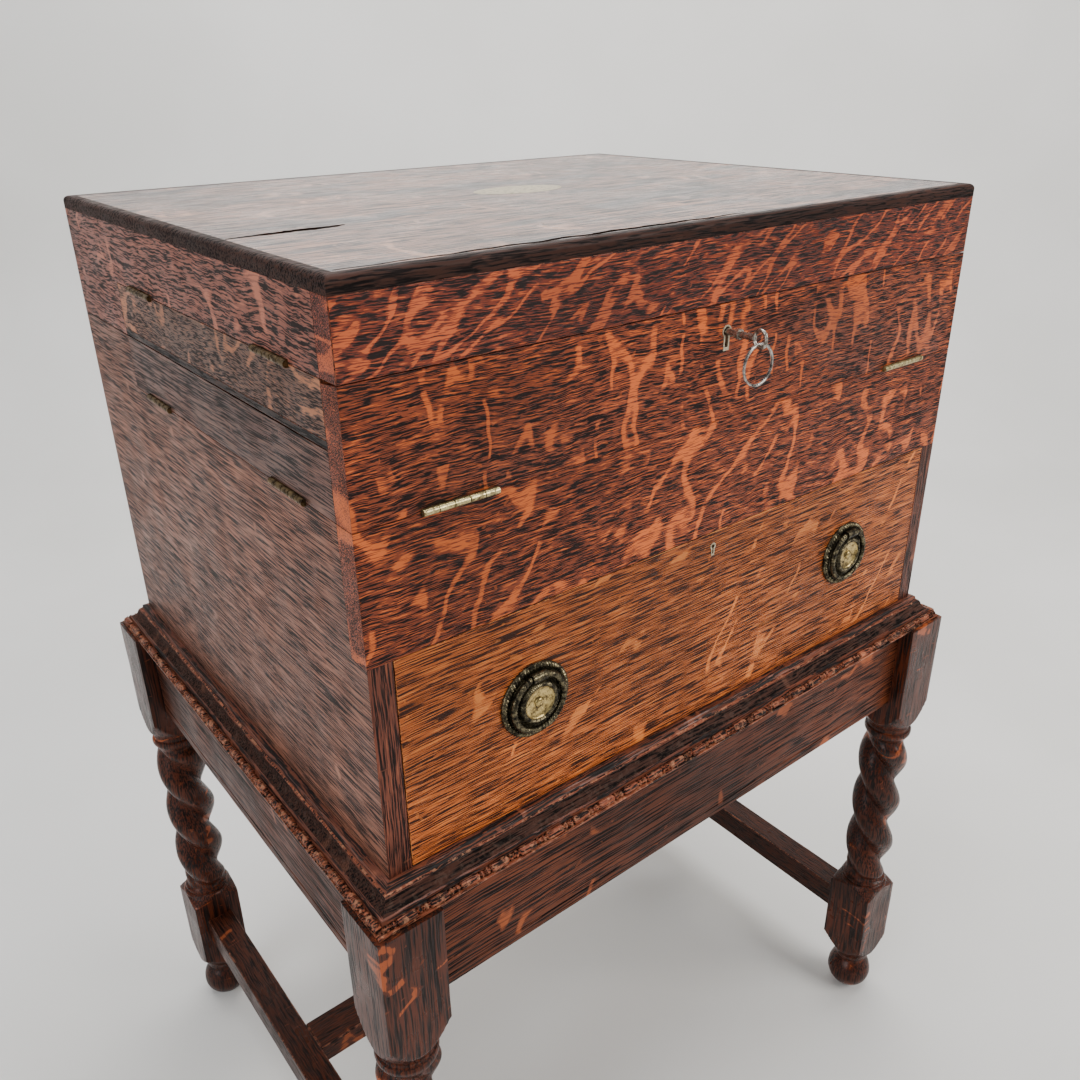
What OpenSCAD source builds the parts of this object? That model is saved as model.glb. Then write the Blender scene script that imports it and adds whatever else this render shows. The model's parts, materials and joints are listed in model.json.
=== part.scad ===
// Work table: a lidded box with folding front and side flaps, on a twist-legged stand.
// X runs along the front, the front faces -Y and Z is up.
// The origin is on the floor, under the middle of the table with its key in the lock.

/* [Case] */
// Width of the case over its side boards
case_w = 480; // [440:5:560]
// Depth of the case, front face to back face
case_d = 382; // [340:2:440]
// Thickness of the case side boards
side_t = 14; // [12:0.5:18]
// Thickness of the rail, the fall front and the lid front
front_t = 15; // [14:0.5:18]
// Thickness of the back boards
back_t = 12; // [8:1:14]
// Height of the drawer opening
drawer_h = 131; // [120:1:160]
// Height of the fixed rail above the drawer
rail_h = 72; // [60:1:90]
// Depth of the folding side flaps, from the front face to their rear ends
flap_reach = 292; // [270:2:300]

/* [Lid and flaps] */
// Height of a lower side flap
lower_flap_h = 35; // [32:1:45]
// Height of an upper side flap
upper_flap_h = 33; // [32:1:45]
// Height of the lid front, top board included
lid_h = 45; // [40:1:60]
// Thickness of the flaps and of the lid sides
flap_t = 12; // [10:0.5:13]
// Thickness of the lid top board
top_t = 8; // [7:0.5:12]
// Width of the banding round the lid top
bead_w = 7; // [6:0.5:10]
// Gap at each seam between boards that part
seam = 0.4; // [0.3:0.05:0.6]

/* [Stand] */
// Height of the stand, floor to the underside of the case
stand_h = 434; // [420:2:460]
// Width of the square blocks of a leg
post_w = 41; // [38:1:44]
// Distance from the case face out to the face of a leg
post_out = 21; // [20:0.5:24]
// Height of the moulding strip round the stand top
moulding_h = 18; // [16:1:22]
// Height of the apron boards
apron_h = 73; // [56:1:76]
// Thickness of the apron boards
apron_t = 16; // [12:1:18]
// How far the aprons stand back from the faces of the legs
apron_set_back = 12; // [8:1:14]
// Length of the rope twist along a leg for one full turn of one strand
twist_lead = 93; // [70:1:120]
// Largest radius of the rope twist
twist_r = 20.3; // [18:0.1:22]
// Radius of the waist of the rope twist
waist_r = 12; // [10:0.5:13]

/* [Brass] */
// Length of the two hinges of the fall front
fall_hinge_l = 44; // [38:1:50]
// Length of the four hinges of each pair of side flaps
flap_hinge_l = 38; // [32:1:44]
// Length of the two hinges of the lid
lid_hinge_l = 50; // [44:1:60]
// Radius of the drop rings of the drawer pulls, to the middle of the wire
pull_ring_r = 17.5; // [17:0.1:18]
// Distance of each drawer pull from the middle of the drawer
pull_x = 140.5; // [120:0.5:170]
// Outer radius of the key ring
key_ring_r = 12.3; // [12:0.1:14]

/* [Hidden] */

$fn = 64;
cut = 0.1;
half_w = case_w / 2;

// How far the key stands out in front of the case
key_out = 29;
// The key in front and the stand behind balance about y = 0
front_y = (key_out - post_out - case_d) / 2;
back_y = front_y + case_d;
mid_y = (front_y + back_y) / 2;
step_y = front_y + flap_reach;

// Heights of the seams, from the floor up
rail_z = stand_h + drawer_h;
fall_z = rail_z + rail_h;
flap_z = fall_z + lower_flap_h;
lid_z = flap_z + upper_flap_h;
top_z = lid_z + lid_h;

// Stand
leg_x = half_w + post_out - post_w / 2;
leg_front_y = front_y - post_out + post_w / 2;
leg_back_y = back_y + post_out - post_w / 2;
post_top_z = stand_h - moulding_h;
post_block_h = 79;
post_bottom_z = post_top_z - post_block_h;
block_bottom_z = 65;
block_top_z = 126;
ball_r = 19.5;
twist_from_z = block_top_z + 19;
twist_to_z = post_bottom_z - 39;
stretcher_top_z = 110;
stretcher_w = 22;
stretcher_h = 25;
cross_w = 29;
cross_h = 18;
moulding_in = 22;
moulding_out = post_out - 2.5;

// Screws that hold the case down
case_screw_r = 1.8;
case_screw_head_r = 3.6;
case_screw_head_h = 2.4;
case_screw_l = moulding_h + 14;
screw_play = 0.05;

// Turn of the twist of each leg at its lower end, front left, front right, back left, back right
twist_phases = [20, 80, 130, 75];
twist_step = 15;
twist_slices = 40;

// Hinges
knuckle_r = 1.9;
knuckle_gap = 0.5;
hinge_pin_r = 0.8;
pin_play = 0.05;
axis_out = 0.6;
leaf_t = 1.2;
leaf_d = 11;
leaf_clear = knuckle_r + 0.4;
half_seam = seam / 2;
fall_hinge_x = 182;
lid_hinge_x = 150;
flap_hinge_ys = [front_y + 65, front_y + 248];

// Lid and upper flaps
plaque_half_l = 34;
plaque_half_w = 20;
plaque_t = 1.2;
lip_h = 5;

// Fall lock and its key
key_z = fall_z + 52;
shank_r = 2;
bit_r = 8.5;
bit_w = 1.8;
bow_r = 3.9;
bow_wire_r = 1.1;
bow_y = front_y - key_out + bow_r + bow_wire_r;
bow_half_h = 0.9;
ring_wire_r = 0.8;
ring_bar_z = key_z - bow_half_h - bow_r;
lock_w = 56;
lock_from_y = front_y + 5;
lock_to_y = front_y + front_t - cut;
lock_bottom_z = key_z - 19;
lock_top_z = lid_z - 2.5;
bolt_w = 16;
bolt_t = 3;
bolt_y = front_y + 10;
bolt_bottom_z = key_z + 3;
bolt_h = 11.2;
bolt_throw = 5;
bolt_play = 0.8;
striker_half_l = 18;
striker_half_w = 4.5;
striker_t = 1.2;

// Drawer
drawer_gap = 0.6;
drawer_front_t = 16;
drawer_box_l = 345;
drawer_side_t = 9;
bottom_board_t = 8;
runner_h = 4;
drawer_w = case_w - 2 * side_t - 2 * drawer_gap;
drawer_z = stand_h + bottom_board_t + runner_h + seam;
drawer_top_z = rail_z - 8;
drawer_floor_z = drawer_z + 4;
drawer_floor_t = 5;
drawer_key_z = rail_z - 10;
pull_z = stand_h + 71;

// Pulls
pull_plate_r = 23.5;
pull_plate_t = 1.8;
pull_wire_r = 2.1;
pull_knuckle_l = 10;
pull_gap_x = pull_knuckle_l / 2 + 0.25;
pull_pin_up = sqrt(pow(pull_ring_r, 2) - pow(pull_gap_x, 2));
pull_pin_out = pull_plate_t + 0.4 + pull_wire_r;
pull_pin_r = 1.6;
pull_bolt_r = 3;

// A board given by its two opposite corners
module board(from, to) {
    translate(from)
        cube(to - from);
}

// Children on the left side of the case, or mirrored to its right side
module on_side(side) {
    mirror([side == "right" ? 1 : 0, 0, 0])
        children();
}

// ---- Hinges. Local frame: barrel along X, the leaves run in along +Y,
// ---- the fixed leaf below z = 0 and the moving leaf above it.

module hinge_leaf(length, moving) {
    pitch = length / 5;
    up = moving ? 1 : -1;
    leaf_z = moving ? half_seam : -half_seam - leaf_t;
    difference() {
        union() {
            for (i = [0 : 4])
                if (i % 2 == (moving ? 1 : 0)) {
                    translate([-length / 2 + i * pitch + knuckle_gap / 2, 0, 0]) {
                        rotate([0, 90, 0])
                            cylinder(r = knuckle_r, h = pitch - knuckle_gap);
                        translate([0, 0, leaf_z])
                            cube([pitch - knuckle_gap, leaf_clear + 1, leaf_t]);
                    }
                }
            translate([-length / 2, leaf_clear, leaf_z])
                cube([length, leaf_d + axis_out - leaf_clear, leaf_t]);
        }
        if (moving)
            rotate([0, 90, 0])
                cylinder(r = hinge_pin_r + pin_play, h = length + 2, center = true);
    }
    if (!moving)
        rotate([0, 90, 0])
            cylinder(r = hinge_pin_r, h = length - knuckle_gap, center = true);
}

// What a hinge takes out of the two boards that it joins
module hinge_seat(length) {
    rotate([0, 90, 0])
        cylinder(r = knuckle_r + 0.3, h = length + 0.6, center = true);
    pocket_h = half_seam + leaf_t + 0.05;
    translate([-length / 2 - cut, axis_out - cut, -pocket_h])
        cube([length + 2 * cut, leaf_d + 2 * cut, 2 * pocket_h]);
}

// Children at both hinges of the fall front
module at_fall_hinges() {
    for (x = [-fall_hinge_x, fall_hinge_x])
        translate([x, front_y - axis_out, fall_z])
            children();
}

// Children at both hinges of the lid
module at_lid_hinges() {
    for (x = [-lid_hinge_x, lid_hinge_x])
        translate([x, back_y + axis_out, flap_z])
            rotate([0, 0, 180])
                children();
}

// Children at both hinges of the left lower flap, which opens outward and down
module at_lower_hinges() {
    for (y = flap_hinge_ys)
        translate([-half_w - axis_out, y, fall_z])
            rotate([0, 0, -90])
                children();
}

// Children at both hinges of the left upper flap, which opens outward and up
module at_upper_hinges() {
    for (y = flap_hinge_ys)
        translate([-half_w - axis_out, y, lid_z])
            mirror([0, 0, 1])
                rotate([0, 0, -90])
                    children();
}

// ---- Stand

// Solid of revolution that turns down the ends of the square blocks
module leg_turning() {
    block_corner_r = post_w / sqrt(2) + 0.5;
    rotate_extrude()
        polygon([
            [0, 36],
            [13, 36],
            [15.5, 41],
            [16.5, 45],
            [21, 53],
            [26, 60],
            [block_corner_r, block_bottom_z],
            [block_corner_r, block_top_z],
            [20.5, block_top_z + 8],
            [20.5, block_top_z + 11],
            [18, block_top_z + 12.5],
            [18.5, block_top_z + 15],
            [16.5, block_top_z + 17.5],
            [14, block_top_z + 20],
            [0, block_top_z + 20]
        ]);
    rotate_extrude()
        polygon([
            [0, post_bottom_z - 40],
            [13.5, post_bottom_z - 40],
            [17, post_bottom_z - 35],
            [19, post_bottom_z - 33],
            [19, post_bottom_z - 29],
            [17.3, post_bottom_z - 27],
            [17.3, post_bottom_z - 24],
            [19.5, post_bottom_z - 20],
            [22.5, post_bottom_z - 15],
            [25, post_bottom_z - 7],
            [block_corner_r, post_bottom_z],
            [block_corner_r, post_top_z],
            [0, post_top_z]
        ]);
}

// Cross-section of a rope of two strands
module twist_section() {
    mean_r = (twist_r + waist_r) / 2;
    wave = (twist_r - waist_r) / 2;
    polygon([
        for (a = [0 : twist_step : 359])
            (mean_r + wave * cos(2 * a)) * [cos(a), sin(a)]
    ]);
}

module leg(x, y, phase) {
    twist_h = twist_to_z - twist_from_z;
    color("#3a2420")
        translate([x, y, 0]) {
            intersection() {
                leg_turning();
                translate([-post_w / 2, -post_w / 2, 0])
                    cube([post_w, post_w, post_top_z]);
            }
            translate([0, 0, twist_from_z])
                rotate([0, 0, phase])
                    linear_extrude(height = twist_h, twist = 360 * twist_h / twist_lead,
                                   slices = twist_slices, segments = 360 / twist_step)
                        twist_section();
            difference() {
                translate([0, 0, ball_r - 0.5])
                    sphere(r = ball_r);
                translate([0, 0, -ball_r])
                    cube([3 * ball_r, 3 * ball_r, 2 * ball_r], center = true);
            }
        }
}

module front_apron() {
    y = front_y - post_out + apron_set_back;
    color("#4a2a20")
        board([post_w - half_w - post_out, y, post_top_z - apron_h],
              [half_w + post_out - post_w, y + apron_t, post_top_z]);
}

module back_apron() {
    y = back_y + post_out - apron_set_back - apron_t;
    color("#4a2a20")
        board([post_w - half_w - post_out, y, post_top_z - apron_h],
              [half_w + post_out - post_w, y + apron_t, post_top_z]);
}

module side_aprons() {
    x = -half_w - post_out + apron_set_back;
    color("#4a2a20")
        for (side = ["left", "right"])
            on_side(side)
                board([x, leg_front_y + post_w / 2, post_top_z - apron_h],
                      [x + apron_t, leg_back_y - post_w / 2, post_top_z]);
}

// Section of the moulding: u out from the case face, v up from the underside
module moulding_section() {
    difference() {
        polygon([
            [-moulding_in, 0],
            [moulding_out, 0],
            [moulding_out, 1.6],
            [moulding_out - 4.5, 4.2],
            [moulding_out - 5, 6],
            [6.5, 13.5],
            [3, moulding_h - 3],
            [3, moulding_h],
            [-moulding_in, moulding_h]
        ]);
        translate([moulding_out - 2.5, 13.5])
            circle(r = 8);
        translate([5.4, moulding_h - 2.4])
            circle(r = 1);
    }
    translate([moulding_out - 2.4, 3.6])
        circle(r = 2.3);
}

// A straight run of moulding along X whose ends are cut at 45 degrees
module moulding_strip(length) {
    mitre_gap = 0.05;
    reach = length / 2 + moulding_out;
    difference() {
        rotate([90, 0, 90])
            linear_extrude(height = 2 * reach, center = true)
                moulding_section();
        for (end = [-1, 1])
            translate([end * (length / 2 - mitre_gap), 0, -1])
                rotate([0, 0, end > 0 ? -45 : 45])
                    translate([end > 0 ? 0 : -2 * reach, -reach, 0])
                        cube([2 * reach, 2 * reach, moulding_h + 2]);
    }
}

module stand_moulding() {
    color("#4c3029")
        translate([0, 0, post_top_z]) {
            translate([0, back_y, 0])
                moulding_strip(case_w);
            translate([0, front_y, 0])
                rotate([0, 0, 180])
                    moulding_strip(case_w);
            translate([-half_w, mid_y, 0])
                rotate([0, 0, 90])
                    moulding_strip(case_d);
            translate([half_w, mid_y, 0])
                rotate([0, 0, -90])
                    moulding_strip(case_d);
        }
}

module side_stretchers() {
    color("#4a2c24")
        for (side = ["left", "right"])
            on_side(side)
                board([-leg_x - stretcher_w / 2, leg_front_y + post_w / 2, stretcher_top_z - stretcher_h],
                      [-leg_x + stretcher_w / 2, leg_back_y - post_w / 2, stretcher_top_z]);
}

module cross_stretcher() {
    reach = leg_x - stretcher_w / 2;
    color("#4a2c24")
        board([-reach, mid_y - cross_w / 2, stretcher_top_z - cross_h],
              [reach, mid_y + cross_w / 2, stretcher_top_z]);
}

// Glue blocks inside the corners of the aprons
module stand_cleats() {
    cleat = 26;
    cleat_h = 44;
    x = leg_x - post_w / 2 - cleat;
    front = front_y - post_out + apron_set_back + apron_t;
    back = back_y + post_out - apron_set_back - apron_t;
    color("#8a6040")
        for (side = ["left", "right"])
            on_side(side) {
                board([-x - cleat, front, post_top_z - cleat_h], [-x, front + cleat, post_top_z]);
                board([-x - cleat, back - cleat, post_top_z - cleat_h], [-x, back, post_top_z]);
            }
}

// Places of the screws that hold the case down on the moulding, left side
module at_case_screws() {
    for (y = [front_y + 70, back_y - 70])
        translate([-half_w + side_t - 4, y, post_top_z])
            children();
}

module case_screws() {
    color("#8d8a84")
        for (side = ["left", "right"])
            on_side(side)
                at_case_screws() {
                    cylinder(r = case_screw_r, h = case_screw_l);
                    cylinder(r = case_screw_head_r, h = case_screw_head_h);
                }
}

// The hole of a case screw, through the moulding and into the side board
module case_screw_holes() {
    at_case_screws() {
        translate([0, 0, -cut])
            cylinder(r = case_screw_r + screw_play, h = case_screw_l + 0.2 + cut);
        translate([0, 0, -cut])
            cylinder(r = case_screw_head_r + screw_play, h = case_screw_head_h + screw_play + cut);
    }
}

module drilled_moulding() {
    difference() {
        stand_moulding();
        for (side = ["left", "right"])
            on_side(side)
                case_screw_holes();
    }
}

// ---- Case

// The left side board: low along the flaps, higher behind them
module side_board() {
    rail_y = front_y + front_t;
    difference() {
        translate([-half_w, 0, 0])
            rotate([90, 0, 90])
                linear_extrude(height = side_t)
                    polygon([
                        [front_y, stand_h],
                        [back_y, stand_h],
                        [back_y, flap_z - half_seam],
                        [step_y, flap_z - half_seam],
                        [step_y, fall_z - half_seam],
                        [rail_y, fall_z - half_seam],
                        [rail_y, rail_z],
                        [front_y, rail_z]
                    ]);
        at_lower_hinges()
            hinge_seat(flap_hinge_l);
        case_screw_holes();
    }
}

module case_left_side() {
    color("#6d5044")
        side_board();
}

module case_right_side() {
    color("#6d5044")
        on_side("right")
            side_board();
}

module case_back() {
    color("#5d4033")
        difference() {
            board([side_t - half_w, back_y - back_t, stand_h],
                  [half_w - side_t, back_y, flap_z - half_seam]);
            at_lid_hinges()
                hinge_seat(lid_hinge_l);
        }
}

module front_rail() {
    color("#7a3b22")
        difference() {
            board([-half_w, front_y, rail_z], [half_w, front_y + front_t, fall_z - half_seam]);
            at_fall_hinges()
                hinge_seat(fall_hinge_l);
        }
}

module well_floor() {
    floor_t = 6;
    color("#9a6a45")
        board([side_t - half_w, front_y + front_t, rail_z + 2],
              [half_w - side_t, back_y - back_t, rail_z + 2 + floor_t]);
}

module case_bottom() {
    color("#9a6a45")
        board([side_t - half_w, front_y + drawer_front_t + 0.5, stand_h],
              [half_w - side_t, back_y - back_t, stand_h + bottom_board_t]);
}

// Runner strips under the drawer sides, and the stop blocks behind the drawer
module drawer_guides() {
    guide_z = stand_h + bottom_board_t;
    inner_x = half_w - side_t;
    stop_y = front_y + drawer_front_t + drawer_box_l + 0.5;
    color("#9a6a45")
        for (side = ["left", "right"])
            on_side(side) {
                board([-inner_x, front_y + drawer_front_t + 0.5, guide_z],
                      [12 - inner_x, stop_y, guide_z + runner_h]);
                board([-inner_x, stop_y, guide_z],
                      [30 - inner_x, back_y - back_t, guide_z + 16]);
            }
}

// ---- Lid

// An oval plate centred over the lid
module oval(long_r, short_r, height) {
    translate([0, mid_y, 0])
        linear_extrude(height = height)
            polygon([for (a = [0 : 6 : 359]) [long_r * cos(a), short_r * sin(a)]]);
}

module lid_top() {
    color("#5f3c2e")
        difference() {
            board([bead_w - half_w, front_y + bead_w, top_z - top_t],
                  [half_w - bead_w, back_y - bead_w, top_z]);
            translate([0, 0, top_z - plaque_t])
                oval(plaque_half_l, plaque_half_w, 2 * plaque_t);
        }
}

module lid_edge_bead() {
    round_r = 3.5;
    color("#3c2924")
        difference() {
            board([-half_w, front_y, top_z - top_t], [half_w, back_y, top_z]);
            board([bead_w - half_w, front_y + bead_w, top_z - top_t - 1],
                  [half_w - bead_w, back_y - bead_w, top_z + 1]);
            // Upper outer arrises, rounded along all four sides
            for (turn = [0, 180])
                translate([0, mid_y, 0])
                    rotate([0, 0, turn]) {
                        rounded_arris(case_w, case_d / 2, round_r);
                        rotate([0, 0, 90])
                            rounded_arris(case_d, case_w / 2, round_r);
                    }
        }
}

// What rounding takes off an upper arris that runs along X at y = -reach
module rounded_arris(length, reach, radius) {
    translate([0, -reach, top_z])
        rotate([90, 0, 90])
            difference() {
                linear_extrude(height = length + 2, center = true)
                    translate([-1, -radius])
                        square([radius + 1, radius + 1]);
                translate([radius, -radius, 0])
                    cylinder(r = radius, h = length + 4, center = true);
            }
}

module lid_front() {
    color("#7a3b22")
        difference() {
            board([-half_w, front_y, lid_z + half_seam], [half_w, front_y + front_t, top_z - top_t]);
            board([-striker_half_l, bolt_y - striker_half_w, lid_z - 1],
                  [striker_half_l, bolt_y + striker_half_w, lid_z + half_seam + striker_t]);
            board([-bolt_w / 2 - 1, bolt_y - bolt_t / 2 - 1, lid_z],
                  [bolt_w / 2 + 1, bolt_y + bolt_t / 2 + 1, lid_z + bolt_throw + 4]);
        }
}

module lock_striker() {
    color("#b09a5c")
        difference() {
            board([-striker_half_l, bolt_y - striker_half_w, lid_z + half_seam],
                  [striker_half_l, bolt_y + striker_half_w, lid_z + half_seam + striker_t]);
            board([-bolt_w / 2 - bolt_play, bolt_y - bolt_t / 2 - bolt_play, lid_z],
                  [bolt_w / 2 + bolt_play, bolt_y + bolt_t / 2 + bolt_play, lid_z + 3]);
        }
}

module lid_back() {
    color("#5d4033")
        difference() {
            board([flap_t - half_w, back_y - back_t, flap_z + half_seam],
                  [half_w - flap_t, back_y, top_z - top_t]);
            at_lid_hinges()
                hinge_seat(lid_hinge_l);
        }
}

// The left side of the lid: shallow over the flaps, deeper behind them
module lid_side_board() {
    lid_side_y = front_y + front_t;
    difference() {
        translate([-half_w, 0, 0])
            rotate([90, 0, 90])
                linear_extrude(height = flap_t)
                    polygon([
                        [lid_side_y, lid_z + half_seam],
                        [step_y, lid_z + half_seam],
                        [step_y, flap_z + half_seam],
                        [back_y, flap_z + half_seam],
                        [back_y, top_z - top_t],
                        [lid_side_y, top_z - top_t]
                    ]);
        at_upper_hinges()
            hinge_seat(flap_hinge_l);
    }
}

module lid_left_side() {
    color("#6d5044")
        lid_side_board();
}

module lid_right_side() {
    color("#6d5044")
        on_side("right")
            lid_side_board();
}

module lid_plaque() {
    color("#a9997f")
        translate([0, 0, top_z - plaque_t])
            oval(plaque_half_l - cut, plaque_half_w - cut, plaque_t);
}

module lid_hinge_case_leaves() {
    color("#b0a070")
        at_lid_hinges()
            hinge_leaf(lid_hinge_l, false);
}

module lid_hinge_lid_leaves() {
    color("#b0a070")
        at_lid_hinges()
            hinge_leaf(lid_hinge_l, true);
}

// ---- Fall front and its lock

// Height at which an edge, some way in from the hinge axis, still clears a swing of the given radius
function swing_clear(radius, inset) = sqrt(pow(radius, 2) - pow(inset, 2));

// Outline of a keyhole about the key's axis: a round top over a straight slot
module keyhole(round_r, slot_w, drop) {
    circle(r = round_r);
    translate([-slot_w / 2, -drop])
        square([slot_w, drop]);
}

// A keyhole cut along Y, its axis at height z, from the case front inward
module keyhole_cut(z, from_y, depth, round_r, slot_w, drop) {
    translate([0, from_y + depth, z])
        rotate([90, 0, 0])
            linear_extrude(height = depth)
                keyhole(round_r, slot_w, drop);
}

module fall_front() {
    swing_r = lid_z - fall_z - half_seam;
    inner_top = fall_z + swing_clear(swing_r, front_t + axis_out);
    color("#7a3b22")
        difference() {
            translate([-half_w, 0, 0])
                rotate([90, 0, 90])
                    linear_extrude(height = case_w)
                        polygon([
                            [front_y, fall_z + half_seam],
                            [front_y + front_t, fall_z + half_seam],
                            [front_y + front_t, inner_top],
                            [front_y, fall_z + swing_clear(swing_r, axis_out)]
                        ]);
            at_fall_hinges()
                hinge_seat(fall_hinge_l);
            keyhole_cut(key_z, front_y - 1, front_t, 2.7, 2.6, 9);
            keyhole_cut(key_z, front_y - 1, 3, 3.6, 4.6, 11);
            board([-lock_w / 2, lock_from_y, lock_bottom_z],
                  [lock_w / 2, front_y + front_t + 1, lid_z + 1]);
        }
}

module fall_escutcheon() {
    color("#b09a5c")
        difference() {
            keyhole_cut(key_z, front_y - 0.3, 2.3, 3.6, 4.6, 11);
            keyhole_cut(key_z, front_y - 1, 4, 2.7, 2.6, 9);
        }
}

module fall_lock() {
    ward_from_y = lock_from_y + 1.5;
    ward_to_y = lock_to_y - 1.5;
    color("#a08c58")
        difference() {
            board([-lock_w / 2, lock_from_y, lock_bottom_z], [lock_w / 2, lock_to_y, lock_top_z]);
            // Room for the bit to turn
            translate([0, ward_to_y, key_z])
                rotate([90, 0, 0])
                    cylinder(r = bit_r + 1, h = ward_to_y - ward_from_y);
            // Guide of the bolt
            board([-bolt_w / 2 - 0.15, bolt_y - bolt_t / 2 - 0.15, key_z + 2.6],
                  [bolt_w / 2 + 0.15, bolt_y + bolt_t / 2 + 0.15, lock_top_z + 1]);
            // Bearing of the key, and the slot that lets its bit in
            keyhole_cut(key_z, lock_from_y - 1, 4, shank_r + pin_play, 2.6, 9);
        }
    // Pin that the hollow end of the key turns on
    color("#a08c58")
        translate([0, lock_to_y - 1.5, key_z])
            rotate([90, 0, 0])
                cylinder(r = 0.9, h = 5);
}

module fall_lock_bolt() {
    color("#c0ab6a")
        board([-bolt_w / 2, bolt_y - bolt_t / 2, bolt_bottom_z],
              [bolt_w / 2, bolt_y + bolt_t / 2, bolt_bottom_z + bolt_h]);
}

module fall_hinge_case_leaves() {
    color("#b0a070")
        at_fall_hinges()
            hinge_leaf(fall_hinge_l, false);
}

module fall_hinge_fall_leaves() {
    color("#b0a070")
        at_fall_hinges()
            hinge_leaf(fall_hinge_l, true);
}

// Half of the rounded end of the key's bow
module bow_end() {
    rotate([0, 90, 0])
        rotate([0, 0, 90])
            rotate_extrude(angle = 180)
                translate([bow_r, 0])
                    circle(r = bow_wire_r, $fn = 32);
}

module key() {
    stem_y = bow_y + bow_r;
    end_y = lock_to_y - 2;
    color("#6f6656") {
        difference() {
            union() {
                translate([0, end_y, key_z])
                    rotate([90, 0, 0])
                        cylinder(r = shank_r, h = end_y - stem_y);
                translate([0, front_y - 8, key_z])
                    rotate([90, 0, 0])
                        cylinder(r = shank_r + 1, h = 2);
                board([-bit_w / 2, end_y - 5, key_z - bit_r], [bit_w / 2, end_y - 1, key_z]);
            }
            translate([0, end_y + 1, key_z])
                rotate([90, 0, 0])
                    cylinder(r = 0.95, h = 8);
        }
        translate([0, bow_y, key_z]) {
            for (end = [0, 1])
                mirror([0, 0, end])
                    translate([0, 0, bow_half_h])
                        bow_end();
            for (y = [-bow_r, bow_r])
                translate([0, y, 0])
                    cylinder(r = bow_wire_r, h = 2 * bow_half_h, center = true, $fn = 32);
        }
    }
}

module key_ring() {
    wire_r = key_ring_r - ring_wire_r;
    rest_z = ring_bar_z + bow_wire_r + ring_wire_r + 0.1;
    color("#8d8a84")
        translate([0, bow_y, rest_z - wire_r])
            rotate([90, 0, 0])
                rotate_extrude()
                    translate([wire_r, 0])
                        circle(r = ring_wire_r, $fn = 24);
}

// ---- Side flaps

// The left lower flap, hinged along its lower edge; its meeting edge is bevelled to swing clear
module lower_flap() {
    swing_r = lower_flap_h - half_seam;
    outer_x = -half_w;
    inner_x = outer_x + flap_t;
    difference() {
        translate([0, step_y - half_seam, 0])
            rotate([90, 0, 0])
                linear_extrude(height = flap_reach - front_t - seam)
                    polygon([
                        [outer_x, fall_z + half_seam],
                        [inner_x, fall_z + half_seam],
                        [inner_x, fall_z + swing_clear(swing_r, flap_t + axis_out)],
                        [outer_x, fall_z + swing_clear(swing_r, axis_out)]
                    ]);
        at_lower_hinges()
            hinge_seat(flap_hinge_l);
    }
}

// The left upper flap with its lip strip, hinged along its upper edge
module upper_flap_outline() {
    swing_r = upper_flap_h - half_seam;
    outer_x = -half_w;
    inner_x = outer_x + flap_t;
    translate([0, step_y - half_seam, 0])
        rotate([90, 0, 0])
            linear_extrude(height = flap_reach - front_t - seam)
                polygon([
                    [outer_x, lid_z - half_seam],
                    [inner_x, lid_z - half_seam],
                    [inner_x, lid_z - swing_clear(swing_r, flap_t + axis_out)],
                    [outer_x, lid_z - swing_clear(swing_r, axis_out)]
                ]);
}

// The space below the line where the lip strip begins
module lip_zone() {
    board([-half_w - 5, front_y, flap_z - 5], [-half_w + flap_t + 5, back_y, flap_z + lip_h]);
}

module upper_flap() {
    difference() {
        upper_flap_outline();
        lip_zone();
        at_upper_hinges()
            hinge_seat(flap_hinge_l);
    }
}

module upper_lip() {
    intersection() {
        upper_flap_outline();
        lip_zone();
    }
}

module lower_flap_left() {
    color("#6a5148")
        lower_flap();
}

module lower_flap_right() {
    color("#6a5148")
        on_side("right")
            lower_flap();
}

module upper_flap_left() {
    color("#6a5148")
        upper_flap();
}

module upper_flap_right() {
    color("#6a5148")
        on_side("right")
            upper_flap();
}

module upper_lip_left() {
    color("#3c2924")
        upper_lip();
}

module upper_lip_right() {
    color("#3c2924")
        on_side("right")
            upper_lip();
}

module lower_hinge_case_leaves() {
    color("#b0a070")
        for (side = ["left", "right"])
            on_side(side)
                at_lower_hinges()
                    hinge_leaf(flap_hinge_l, false);
}

module lower_hinge_leaves(side) {
    color("#b0a070")
        on_side(side)
            at_lower_hinges()
                hinge_leaf(flap_hinge_l, true);
}

module upper_hinge_lid_leaves() {
    color("#b0a070")
        for (side = ["left", "right"])
            on_side(side)
                at_upper_hinges()
                    hinge_leaf(flap_hinge_l, false);
}

module upper_hinge_leaves(side) {
    color("#b0a070")
        on_side(side)
            at_upper_hinges()
                hinge_leaf(flap_hinge_l, true);
}

// ---- Drawer

// Children at both pulls, with local Z pointing out of the drawer front
module at_pull(side) {
    translate([side == "left" ? -pull_x : pull_x, front_y, pull_z])
        rotate([90, 0, 0])
            children();
}

module drawer_front() {
    half = drawer_w / 2;
    color("#a86430")
        difference() {
            board([-half, front_y, stand_h + drawer_gap],
                  [half, front_y + drawer_front_t, rail_z - drawer_gap]);
            for (side = ["left", "right"])
                at_pull(side)
                    cylinder(r = pull_bolt_r + pin_play, h = 3 * drawer_front_t, center = true);
            keyhole_cut(drawer_key_z, front_y - 1, drawer_front_t + 2, 1.4, 1.2, 5);
            keyhole_cut(drawer_key_z, front_y - 1, 2.5, 2.3, 2.8, 6.4);
        }
}

module drawer_sides() {
    half = drawer_w / 2;
    color("#b08050")
        for (side = ["left", "right"])
            on_side(side)
                board([-half, front_y + drawer_front_t, drawer_z],
                      [drawer_side_t - half, front_y + drawer_front_t + drawer_box_l, drawer_top_z]);
}

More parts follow.
